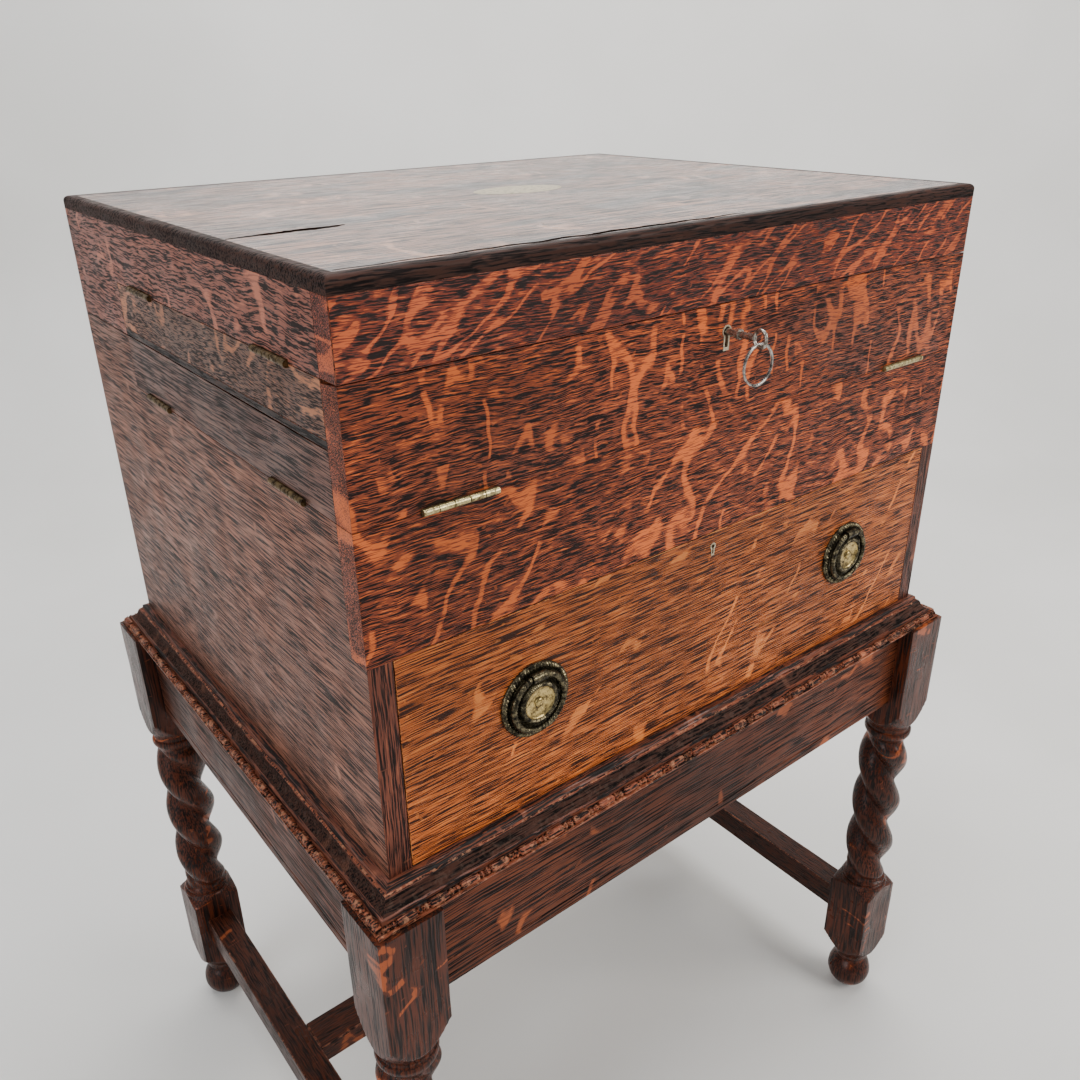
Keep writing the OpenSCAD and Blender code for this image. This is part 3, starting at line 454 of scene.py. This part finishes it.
# Wood, wood of the rubbed arrises, and width of the rubbed arrises in millimetres, by node
BOARDS = {
    "case_left_side": ("side", "dark", 1.3), "case_right_side": ("side", "dark", 1.3),
    "case_back": ("back", "dark", 0.8), "front_rail": ("front_rail", "dark", 1.0),
    "lid_front": ("lid_front", "dark", 0.9), "lid_back": ("back", "dark", 0.8),
    "lid_left_side": ("lid_side", "dark", 0.9), "lid_right_side": ("lid_side", "dark", 0.9),
    "fall_front": ("fall_front", "dark", 0.9), "drawer_front": ("drawer_front", "drawer", 0.7),
    "lower_flap_left": ("lower_flap", "dark", 0.8), "lower_flap_right": ("lower_flap", "dark", 0.8),
    "upper_flap_left": ("upper_flap", "dark", 0.8), "upper_flap_right": ("upper_flap", "dark", 0.8),
    "upper_lip_left": ("lip", "stand", 0.8), "upper_lip_right": ("lip", "stand", 0.8),
    "side_stretchers": ("stretcher_y", "stand", 1.2), "cross_stretcher": ("stretcher_x", "stand", 1.2),
    "lid_top": ("top", "dark", 0.3),
}
for index, (node, (wood, arris, width)) in enumerate(BOARDS.items()):
    end = WOOD["side_end"] if wood in ("side", "lid_side") else None
    split = WOOD["split"] if wood == "top" else None
    worn_board(node, WOOD[wood], ARRIS[arris], width * MM, index, end, split)

# Unpolished boards inside, which are the same wood on their arrises
INNER_BOARDS = {
    "inner_x": ("well_floor", "case_bottom", "drawer_back", "drawer_bottom"),
    "inner_y": ("drawer_guides", "drawer_sides", "stand_cleats"),
}
for wood, names in INNER_BOARDS.items():
    for node in names:
        worn_board(node, WOOD[wood], WOOD[wood], 0.6 * MM)


def repaint(node, material):
    """Gives a CAD node that keeps its own shape a better material."""
    data = NODES[node].data
    data.materials.clear()
    data.materials.append(material)


for node in NODES:
    if node.endswith("_leaves"):
        repaint(node, METAL["side_hinge" if node.startswith(("upper", "lower")) else "hinge"])
for node in ("lock_striker", "fall_lock", "fall_lock_bolt", "drawer_lock"):
    repaint(node, METAL["antique"])
for node in ("fall_escutcheon", "drawer_escutcheon"):
    repaint(node, METAL["plaque"])
repaint("case_screws", METAL["steel"])
repaint("key", METAL["steel"])
repaint("lid_plaque", METAL["plaque"])
repaint("lid_edge_bead", WOOD["bead"])


# ---------------------------------------------------------------- legs

POST_HALF = 20.5 * MM
LEG_TURNS = 72
TWIST_FROM, TWIST_TO = 145 * MM, 298 * MM
TWIST_LEAD = 93 * MM
STRAND_R, STRAND_OUT = 13.7 * MM, 6.6 * MM
# Turned outline of a leg: height and radius, in millimetres. At the square blocks it is wider than they are.
LEG_OUTLINE = [
    (0, 4.4), (0.6, 6.5), (2, 9.6), (4.5, 13), (8, 16), (12, 18.3), (16, 19.4), (19, 19.6), (23, 19.2),
    (27, 18), (31, 15.8), (34, 13.6), (35.5, 12.8), (37, 13), (38, 14.4), (40, 15.2), (43, 15.8), (45, 16.6),
    (49, 18.8), (53, 21.4), (59, 25.4), (65, 31), (126, 31), (130, 26), (133.5, 21), (134.2, 20.3),
    (135.4, 20.4), (136.6, 19.6), (137.2, 18.0), (138.2, 18.0), (139.4, 18.7), (140.6, 18.4), (141.6, 17.0),
    (142.6, 16.2), (145, 15.6), (298, 15.6), (301, 17.2), (304, 19.0), (306.5, 19.3), (308.5, 18.6),
    (309.3, 17.2), (311, 17.0), (313, 17.6), (316, 19.2), (320, 21.6), (326, 24.6), (332, 27.2), (337, 31),
    (416, 31),
]


def outline_radius(z):
    """Radius of the turned outline at height z, straight between its points."""
    level = z / MM
    for (z0, r0), (z1, r1) in zip(LEG_OUTLINE, LEG_OUTLINE[1:]):
        if level <= z1:
            return (r0 + (r1 - r0) * (level - z0) / (z1 - z0)) * MM
    return LEG_OUTLINE[-1][1] * MM


def square_radius(angle, half, power=34):
    """Radius of a square with softly rounded corners, at an angle."""
    return half * (abs(math.cos(angle)) ** power + abs(math.sin(angle)) ** power) ** (-1 / power)


def rope_radius(angle):
    """Radius of two round strands laid side by side, at an angle from the line of their middles."""
    return STRAND_OUT * abs(math.cos(angle)) + math.sqrt(STRAND_R ** 2 - (STRAND_OUT * math.sin(angle)) ** 2)


def leg_radius(angle, z, phase):
    round_r = outline_radius(z)
    if TWIST_FROM - 4 * MM < z < TWIST_TO + 4 * MM:
        turn = phase - 2 * math.pi * (z - TWIST_FROM) / TWIST_LEAD
        ease = min(1.0, max(0.0, min(z - TWIST_FROM + 2 * MM, TWIST_TO + 2 * MM - z) / (9 * MM)))
        ease = ease * ease * (3 - 2 * ease)
        round_r += (rope_radius(angle - turn) - round_r) * ease
    block_r = square_radius(angle, POST_HALF)
    return min(round_r, block_r)


def leg_levels():
    """Heights of the rings of points: close together where the outline turns, far apart on the blocks."""
    levels = {0.0}
    spans = [(0, 66, 1.1), (66, 124, 14), (124, 145, 0.5), (145, 298, 1.7), (298, 338, 0.8), (338, 416, 13)]
    for low, high, gap in spans:
        count = round((high - low) / gap)
        levels.update(round(low + (high - low) * i / count, 3) for i in range(count + 1))
    return [level * MM for level in sorted(levels)]


def build_leg(node, phase, seed):
    low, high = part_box(node)
    centre = ((low[0] + high[0]) / 2, (low[1] + high[1]) / 2)
    mesh = bmesh.new()
    rows = []
    for z in leg_levels():
        row = []
        for i in range(LEG_TURNS):
            angle = 2 * math.pi * i / LEG_TURNS
            radius = leg_radius(angle, z, math.radians(phase))
            dent = noise.noise(Vector((math.cos(angle) * 2 + seed, math.sin(angle) * 2, z * 60)))
            radius -= max(0.0, dent) * 0.35 * MM
            row.append((centre[0] + radius * math.cos(angle), centre[1] + radius * math.sin(angle), z))
        rows.append(row)
    made = grid_faces(mesh, rows)
    cap_ends(mesh, made)
    to_piece(mesh, "turned_" + node, BODY_OF[node], [WOOD["leg"]], [node], smooth=28)


for seed, (node, phase) in enumerate((("leg_front_left", 20), ("leg_front_right", 80),
                                      ("leg_back_left", 130), ("leg_back_right", 75))):
    build_leg(node, phase, seed)


# ---------------------------------------------------------------- aprons and moulding

GROOVE_UP = 8 * MM
GROOVE_HALF = 0.7 * MM
GROOVE_DEEP = 0.8 * MM


def build_apron(low, high, out):
    """An apron board with a scratched line near the lower edge of its outer face.

    out is the outward direction of the face: (-1, 0), (1, 0), (0, -1) or (0, 1)."""
    along = 0 if out[1] else 1
    across = 1 - along
    front = low[across] if out[across] < 0 else high[across]
    back = high[across] if out[across] < 0 else low[across]
    inward = 1 if back > front else -1
    soft = 0.8 * MM
    groove = low[2] + GROOVE_UP
    section = [
        (front + inward * soft, low[2]), (front, low[2] + soft), (front, groove - GROOVE_HALF),
        (front + inward * GROOVE_DEEP, groove - GROOVE_HALF * 0.2),
        (front + inward * GROOVE_DEEP, groove + GROOVE_HALF * 0.2),
        (front, groove + GROOVE_HALF), (front, high[2]), (back, high[2]), (back, low[2]),
    ]
    mesh = bmesh.new()
    rows = []
    count = int((high[along] - low[along]) / (12 * MM))
    for i in range(count + 1):
        at = low[along] + (high[along] - low[along]) * i / count
        row = []
        for depth, z in section:
            sway = noise.noise(Vector((at * 25, depth * 90, z * 60))) * 0.25 * MM
            point = [0, 0, z]
            point[along] = at
            point[across] = depth + (inward * abs(sway) if depth == front else 0)
            row.append(point)
        rows.append(row)
    made = grid_faces(mesh, rows)
    cap_ends(mesh, made)
    return mesh


front_low, front_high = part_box("front_apron")
back_low, back_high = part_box("back_apron")
sides_low, sides_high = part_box("side_aprons")
APRON_T = front_high[1] - front_low[1]
to_piece(build_apron(front_low, front_high, (0, -1)), "scratched_front_apron", "case",
         [WOOD["apron_x"]], ["front_apron"])
to_piece(build_apron(back_low, back_high, (0, 1)), "scratched_back_apron", "case",
         [WOOD["apron_x"]], ["back_apron"])
pair = build_apron(sides_low, (sides_low[0] + APRON_T, sides_high[1], sides_high[2]), (-1, 0))
right = build_apron((sides_high[0] - APRON_T, sides_low[1], sides_low[2]), sides_high, (1, 0))
right_data = bpy.data.meshes.new("right_apron")
right.to_mesh(right_data)
right.free()
pair.from_mesh(right_data)
bpy.data.meshes.remove(right_data)
to_piece(pair, "scratched_side_aprons", "case", [WOOD["apron_y"]], ["side_aprons"])

# Section of the moulding, in millimetres: out from the case face, up from the underside
MOULDING = [
    (-22, 0), (17.6, 0), (18.3, 0.3), (18.5, 0.9), (18.4, 1.5), (16.6, 1.8), (15.6, 2.0), (13.4, 5.6),
    (13.2, 6.6), (11.6, 7.1), (9.6, 8.4), (8.2, 10.2), (7.4, 12.4), (7.0, 13.4), (6.5, 13.7), (6.4, 14.2),
    (5.4, 14.6), (4.6, 15.2), (4.2, 16.2), (4.2, 17.2), (3.8, 17.8), (3.0, 18), (-22, 18),
]
BEAD_OUT, BEAD_UP = 15.9, 3.8
BEAD_PITCH = 20.0
BAR_HALF = 6.2
DISC_AT = (8.0, 10.6)
DISC_HALF = 1.25


def bead_radius(along):
    """Radius of the bead and reel at a place along it, in millimetres: one bar, then two round beads."""
    place = (along + BEAD_PITCH / 2) % BEAD_PITCH - BEAD_PITCH / 2
    place = abs(place)
    radius = 0.9
    if place < BAR_HALF:
        end = max(0.0, place - (BAR_HALF - 1.4)) / 1.4
        radius = max(radius, 2.5 * math.sqrt(max(0.0, 1 - end * end)))
    for centre in DISC_AT:
        reach = (place - centre) / DISC_HALF
        if abs(reach) < 1:
            radius = max(radius, 2.1 * math.sqrt(1 - reach * reach))
    return radius


def moulding_look(up, base):
    """Number of the material of a face whose section point stands at up millimetres."""
    # Bottom edge and fillet faces take the pale arris wood, which paints wear and highlights; the hollow
    # takes the darker wood
    if up < 1.6 or 13.4 < up < 14.4:
        return 2
    if 6.6 < up < 13.0:
        return 3
    return base


def build_moulding():
    """Four mitred strips, each with a row of bars and beads along its outer edge."""
    case_low, case_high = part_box("case_left_side")
    right_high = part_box("case_right_side")[1]
    base_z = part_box("stand_moulding")[0][2]
    half_x = right_high[0]
    mid_y = (case_low[1] + case_high[1]) / 2
    half_y = (case_high[1] - case_low[1]) / 2
    mesh = bmesh.new()
    runs = [((0, mid_y - half_y), (1, 0), (0, -1), half_x), ((0, mid_y + half_y), (-1, 0), (0, 1), half_x),
            ((-half_x, mid_y), (0, -1), (-1, 0), half_y), ((half_x, mid_y), (0, 1), (1, 0), half_y)]
    for index, (middle, along, out, half) in enumerate(runs):
        def at(s, u, v, wobble=0.0):
            reach_out = u * MM - wobble
            return (middle[0] + along[0] * s + out[0] * reach_out,
                    middle[1] + along[1] * s + out[1] * reach_out, base_z + v * MM)

        steps = 48
        rows = []
        for i in range(steps + 1):
            t = 2 * i / steps - 1
            row = []
            for u, v in MOULDING:
                s = t * (half + u * MM - 0.1 * MM)
                rub = noise.noise(Vector((s * 40 + index * 7, u * 0.3, v * 0.3)))
                row.append(at(s, u, v, max(0.0, rub) * (0.5 * MM if u > 0 and 0 < v < 18 else 0)))
            rows.append(row)
        base = 0 if along[0] else 1
        made = grid_faces(mesh, rows, looks=[moulding_look(v, base) for u, v in MOULDING])
        cap_ends(mesh, made)

        reach = half + (BEAD_OUT - 1.5) * MM
        count = int(2 * reach / (0.55 * MM))
        bead_rows = []
        for i in range(count + 1):
            s = -reach + 2 * reach * i / count
            radius = bead_radius(s / MM)
            chipped = noise.noise(Vector((s * 60, index * 5.0, 2.0)))
            radius *= 1 - 0.35 * max(0.0, chipped - 0.1)
            bead_rows.append([at(s, BEAD_OUT + radius * math.cos(a), BEAD_UP + radius * math.sin(a))
                              for a in (math.radians(45 * k) for k in range(8))])
        # Bars and beads take the pale arris wood too, which paints wear and highlights
        made = grid_faces(mesh, bead_rows, looks=(2,))
        cap_ends(mesh, made, look=2)
    return mesh


to_piece(build_moulding(), "carved_moulding", "case", MOULDING_WOOD, ["stand_moulding"], smooth=32)


# ---------------------------------------------------------------- drawer pulls

PULL_TURNS = 240
RIM_BEADS = 60
DISH_R = 10.3
RING_WIRE = 2.1 * MM
HALF_GAP = 5.25 * MM
PIN_R = 1.6 * MM
KNUCKLE_R = 2.9 * MM
KNUCKLE_HALF = 5.0 * MM
TUBE_SIDES = 24
PIN_PLAY = 0.1 * MM
PIN_PAST_GAP = 1.0 * MM
BOLT_R = 3 * MM
NUT_T = 4 * MM
NUT_HALF = 6 * MM
RIM_BASE = 1.3
CORD_TWISTS = 52


def pull_profile():
    """Radius, height and ripple of the backplate, in millimetres, from its rim to its middle."""
    return [
        (23.4, 0.0, 0), (23.5, 0.9, 0), (23.1, 1.7, 1), (22.3, 2.5, 1), (21.3, 2.9, 1), (20.4, 2.4, 1),
        (20.0, 1.8, 0), (19.4, 1.5, 0), (16.0, 1.5, 0), (14.6, 1.6, 0), (14.0, 2.6, 0), (13.4, 4.2, 2),
        (12.9, 5.2, 2), (12.2, 5.9, 2), (11.3, 6.2, 2), (10.6, 5.8, 2), (10.2, 5.2, 0), (9.4, 4.5, 0),
        (7.0, 4.1, 0), (4.0, 3.9, 0), (3.2, 4.0, 0), (2.9, 4.9, 0), (2.2, 5.4, 0), (1.0, 5.6, 0),
    ]


def add_rod(mesh, start, end, radius, sides=24):
    """A straight rod between two points; with four sides it is square and set level."""
    axis = (Vector(end) - Vector(start)).normalized()
    aside = axis.orthogonal().normalized()
    other = axis.cross(aside)
    angles = [math.pi / 4 + 2 * math.pi * k / sides for k in range(sides)]
    rows = [[Vector(tip) + radius * (aside * math.cos(a) + other * math.sin(a)) for a in angles]
            for tip in (start, end)]
    cap_ends(mesh, grid_faces(mesh, rows))


def add_knuckle(mesh, centre, outer, inner, half_l):
    """A short open tube along X."""
    corners = [(-half_l, outer), (half_l, outer), (half_l, inner), (-half_l, inner)]
    rows = [[Vector(centre) + Vector((x, radius * math.cos(a), radius * math.sin(a)))
             for a in (2 * math.pi * k / TUBE_SIDES for k in range(TUBE_SIDES))] for x, radius in corners]
    grid_faces(mesh, rows, closed_rows=True)


def build_pull_plate(mesh, centre):
    """One backplate with beads round its rim and a milled edge round its boss. It faces -Y."""
    rows = []
    for i in range(PULL_TURNS):
        angle = 2 * math.pi * i / PULL_TURNS
        row = []
        for radius, up, ripple in pull_profile():
            if ripple == 1:
                up = RIM_BASE + (up - RIM_BASE) * (0.45 + 0.55 * abs(math.sin(RIM_BEADS * angle / 2)))
            if ripple == 2:
                radius -= 0.35 * (0.5 + 0.5 * math.cos(RIM_BEADS * angle))
            row.append((centre[0] + radius * MM * math.cos(angle), centre[1] - up * MM,
                        centre[2] + radius * MM * math.sin(angle)))
        rows.append(row)
    looks = [int(radius <= DISH_R) for radius, up, ripple in pull_profile()]
    made = grid_faces(mesh, rows, closed_ring=False, closed_rows=True, looks=looks)
    mesh.faces.new([row[-1] for row in made]).material_index = 1
    mesh.faces.new([row[0] for row in reversed(made)])


def build_pull_ring(node):
    """The drop ring: a wire with a cord pattern, and the pin that it turns on."""
    low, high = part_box(node)
    ring_r = (high[0] - low[0]) / 2 - RING_WIRE
    centre = Vector(((low[0] + high[0]) / 2, (low[1] + high[1]) / 2, low[2] + RING_WIRE + ring_r))
    gap = math.asin(HALF_GAP / (ring_r - RING_WIRE))
    mesh = bmesh.new()
    rows = []
    steps = 200
    for i in range(steps + 1):
        angle = math.pi / 2 + gap + (2 * math.pi - 2 * gap) * i / steps
        out = Vector((math.cos(angle), 0, math.sin(angle)))
        row = []
        for k in range(14):
            around = 2 * math.pi * k / 14
            radius = RING_WIRE * (0.90 + 0.10 * math.cos(2 * around + CORD_TWISTS * angle))
            row.append(centre + out * (ring_r + radius * math.cos(around))
                       + Vector((0, radius * math.sin(around), 0)))
        rows.append(row)
    made = grid_faces(mesh, rows)
    cap_ends(mesh, made)
    pin = centre + Vector((0, 0, math.sqrt(ring_r ** 2 - HALF_GAP ** 2)))
    half_l = Vector((HALF_GAP + PIN_PAST_GAP, 0, 0))
    add_rod(mesh, pin - half_l, pin + half_l, PIN_R)
    to_piece(mesh, "corded_" + node, BODY_OF[node], [METAL["antique"]], [node], smooth=50)
    return pin


bolt_end_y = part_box("pull_backplates")[1][1]
drawer_low, drawer_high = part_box("drawer_front")
plate_mesh = bmesh.new()
for node in ("pull_ring_left", "pull_ring_right"):
    ring_low, ring_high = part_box(node)
    ring_x = (ring_low[0] + ring_high[0]) / 2
    ring_z = ring_low[2] + (ring_high[0] - ring_low[0]) / 2
    pin = build_pull_ring(node)
    build_pull_plate(plate_mesh, (ring_x, drawer_low[1], ring_z))
    add_knuckle(plate_mesh, pin, KNUCKLE_R, PIN_R + PIN_PLAY, KNUCKLE_HALF)
    add_rod(plate_mesh, (ring_x, drawer_low[1], ring_z), (ring_x, bolt_end_y, ring_z), BOLT_R)
    add_rod(plate_mesh, (ring_x, drawer_high[1], ring_z), (ring_x, drawer_high[1] + NUT_T, ring_z),
            NUT_HALF * math.sqrt(2), sides=4)
to_piece(plate_mesh, "beaded_pull_backplates", "drawer", [METAL["antique"], METAL["dish"]],
         ["pull_backplates"], smooth=40)


# ---------------------------------------------------------------- key ring

KEY_WIRE = 0.75 * MM
KEY_WIRE_HALF_T = 0.38 * MM
TURN_APART = 0.40 * MM
RING_COILS = 1.92
RING_STEPS = 220


def build_key_ring():
    """A split ring: two turns of flat wire, with the ends lying on the turn beside them."""
    low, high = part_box("key_ring")
    centre = Vector(((low[0] + high[0]) / 2, (low[1] + high[1]) / 2, (low[2] + high[2]) / 2))
    ring_r = (high[2] - low[2]) / 2 - KEY_WIRE
    mesh = bmesh.new()
    rows = []
    for i in range(RING_STEPS + 1):
        t = i / RING_STEPS
        angle = math.radians(250) + 2 * math.pi * RING_COILS * t
        side = (t - 0.5) * 2
        shift = max(-1.0, min(1.0, side * 5)) * TURN_APART
        out = Vector((math.cos(angle), 0, math.sin(angle)))
        row = []
        for k in range(10):
            around = 2 * math.pi * k / 10
            row.append(centre + out * (ring_r + KEY_WIRE * math.cos(around))
                       + Vector((0, shift + KEY_WIRE_HALF_T * math.sin(around), 0)))
        rows.append(row)
    made = grid_faces(mesh, rows)
    cap_ends(mesh, made)
    to_piece(mesh, "split_key_ring", "key_ring", [METAL["key_ring"]], ["key_ring"], smooth=60)


build_key_ring()


# ---------------------------------------------------------------- stage, light and camera

def stage_material():
    s = Shader("stage_paper")
    soft = s.noise(s.place, 2.0, 3.0, 0.5)
    colour = s.mix(s.step(soft, 0.3, 0.7), linear(214, 212, 208), linear(222, 220, 217))
    return s.finish(colour, 0.8, soft, 0.0002)


def build_stage():
    """A pale floor that curves up into a pale wall behind the table."""
    mesh = bmesh.new()
    bend = 0.5
    path = [(-5.0, 0.0), (1.3, 0.0)]
    path += [(1.3 + bend * math.sin(a), bend - bend * math.cos(a))
             for a in (math.radians(9 * k) for k in range(1, 11))]
    path += [(1.8, 4.0)]
    rows = [[(x, y, z) for y, z in path] for x in (-6.0, 6.0)]
    grid_faces(mesh, rows, closed_ring=False)
    data = bpy.data.meshes.new("stage")
    mesh.to_mesh(data)
    mesh.free()
    data.materials.append(stage_material())
    data.shade_smooth()
    stage = bpy.data.objects.new("stage", data)
    stage.rotation_euler = (0, 0, math.radians(-38))
    bpy.context.scene.collection.objects.link(stage)


def area_light(name, place, target, size, power, tint=(1, 1, 1)):
    light = bpy.data.lights.new(name, "AREA")
    light.shape = "RECTANGLE"
    light.size, light.size_y = size
    light.energy = power
    light.color = tint
    lamp = bpy.data.objects.new(name, light)
    lamp.location = place
    lamp.rotation_euler = (Vector(place) - Vector(target)).to_track_quat("Z", "Y").to_euler()
    bpy.context.scene.collection.objects.link(lamp)


def build_light():
    world = bpy.data.worlds.new("studio")
    world.use_nodes = True
    world.node_tree.nodes["Background"].inputs[0].default_value = (0.82, 0.86, 0.92, 1)
    world.node_tree.nodes["Background"].inputs[1].default_value = 0.35
    bpy.context.scene.world = world
    middle = (0.0, 0.0, 0.45)
    area_light("key", (1.3, -2.2, 1.7), middle, (1.6, 1.2), 58, (1.0, 0.97, 0.93))
    area_light("fill", (-2.4, -0.5, 1.4), middle, (1.6, 1.6), 34, (0.94, 0.97, 1.0))
    area_light("top", (0.1, 0.2, 2.6), middle, (1.8, 1.8), 40)
    area_light("wall", (0.2, 0.3, 2.6), (1.4, 1.8, 1.2), (3.0, 0.8), 60)


# Where the camera stands and its three directions, in the frame of the table
CAMERA_PLACE = (-0.4139, -0.5475, 0.8233)
CAMERA_RIGHT = (0.7806, -0.6249, -0.0124)
CAMERA_UP = (0.2724, 0.3224, 0.9066)
CAMERA_BACK = (-0.5625, -0.7110, 0.4219)
LENS_MM = 32.545
CAMERA_SHIFT = (-0.0082, -0.0158)


def build_camera():
    data = bpy.data.cameras.new("camera")
    data.sensor_width = 36
    data.lens = LENS_MM
    data.shift_x, data.shift_y = CAMERA_SHIFT
    data.clip_start = 0.02
    camera = bpy.data.objects.new("camera", data)
    turn = Matrix([Vector(axis) for axis in (CAMERA_RIGHT, CAMERA_UP, CAMERA_BACK)]).transposed().to_4x4()
    camera.matrix_world = Matrix.Translation(CAMERA_PLACE) @ turn
    bpy.context.scene.collection.objects.link(camera)
    bpy.context.scene.camera = camera


build_stage()
build_light()
build_camera()

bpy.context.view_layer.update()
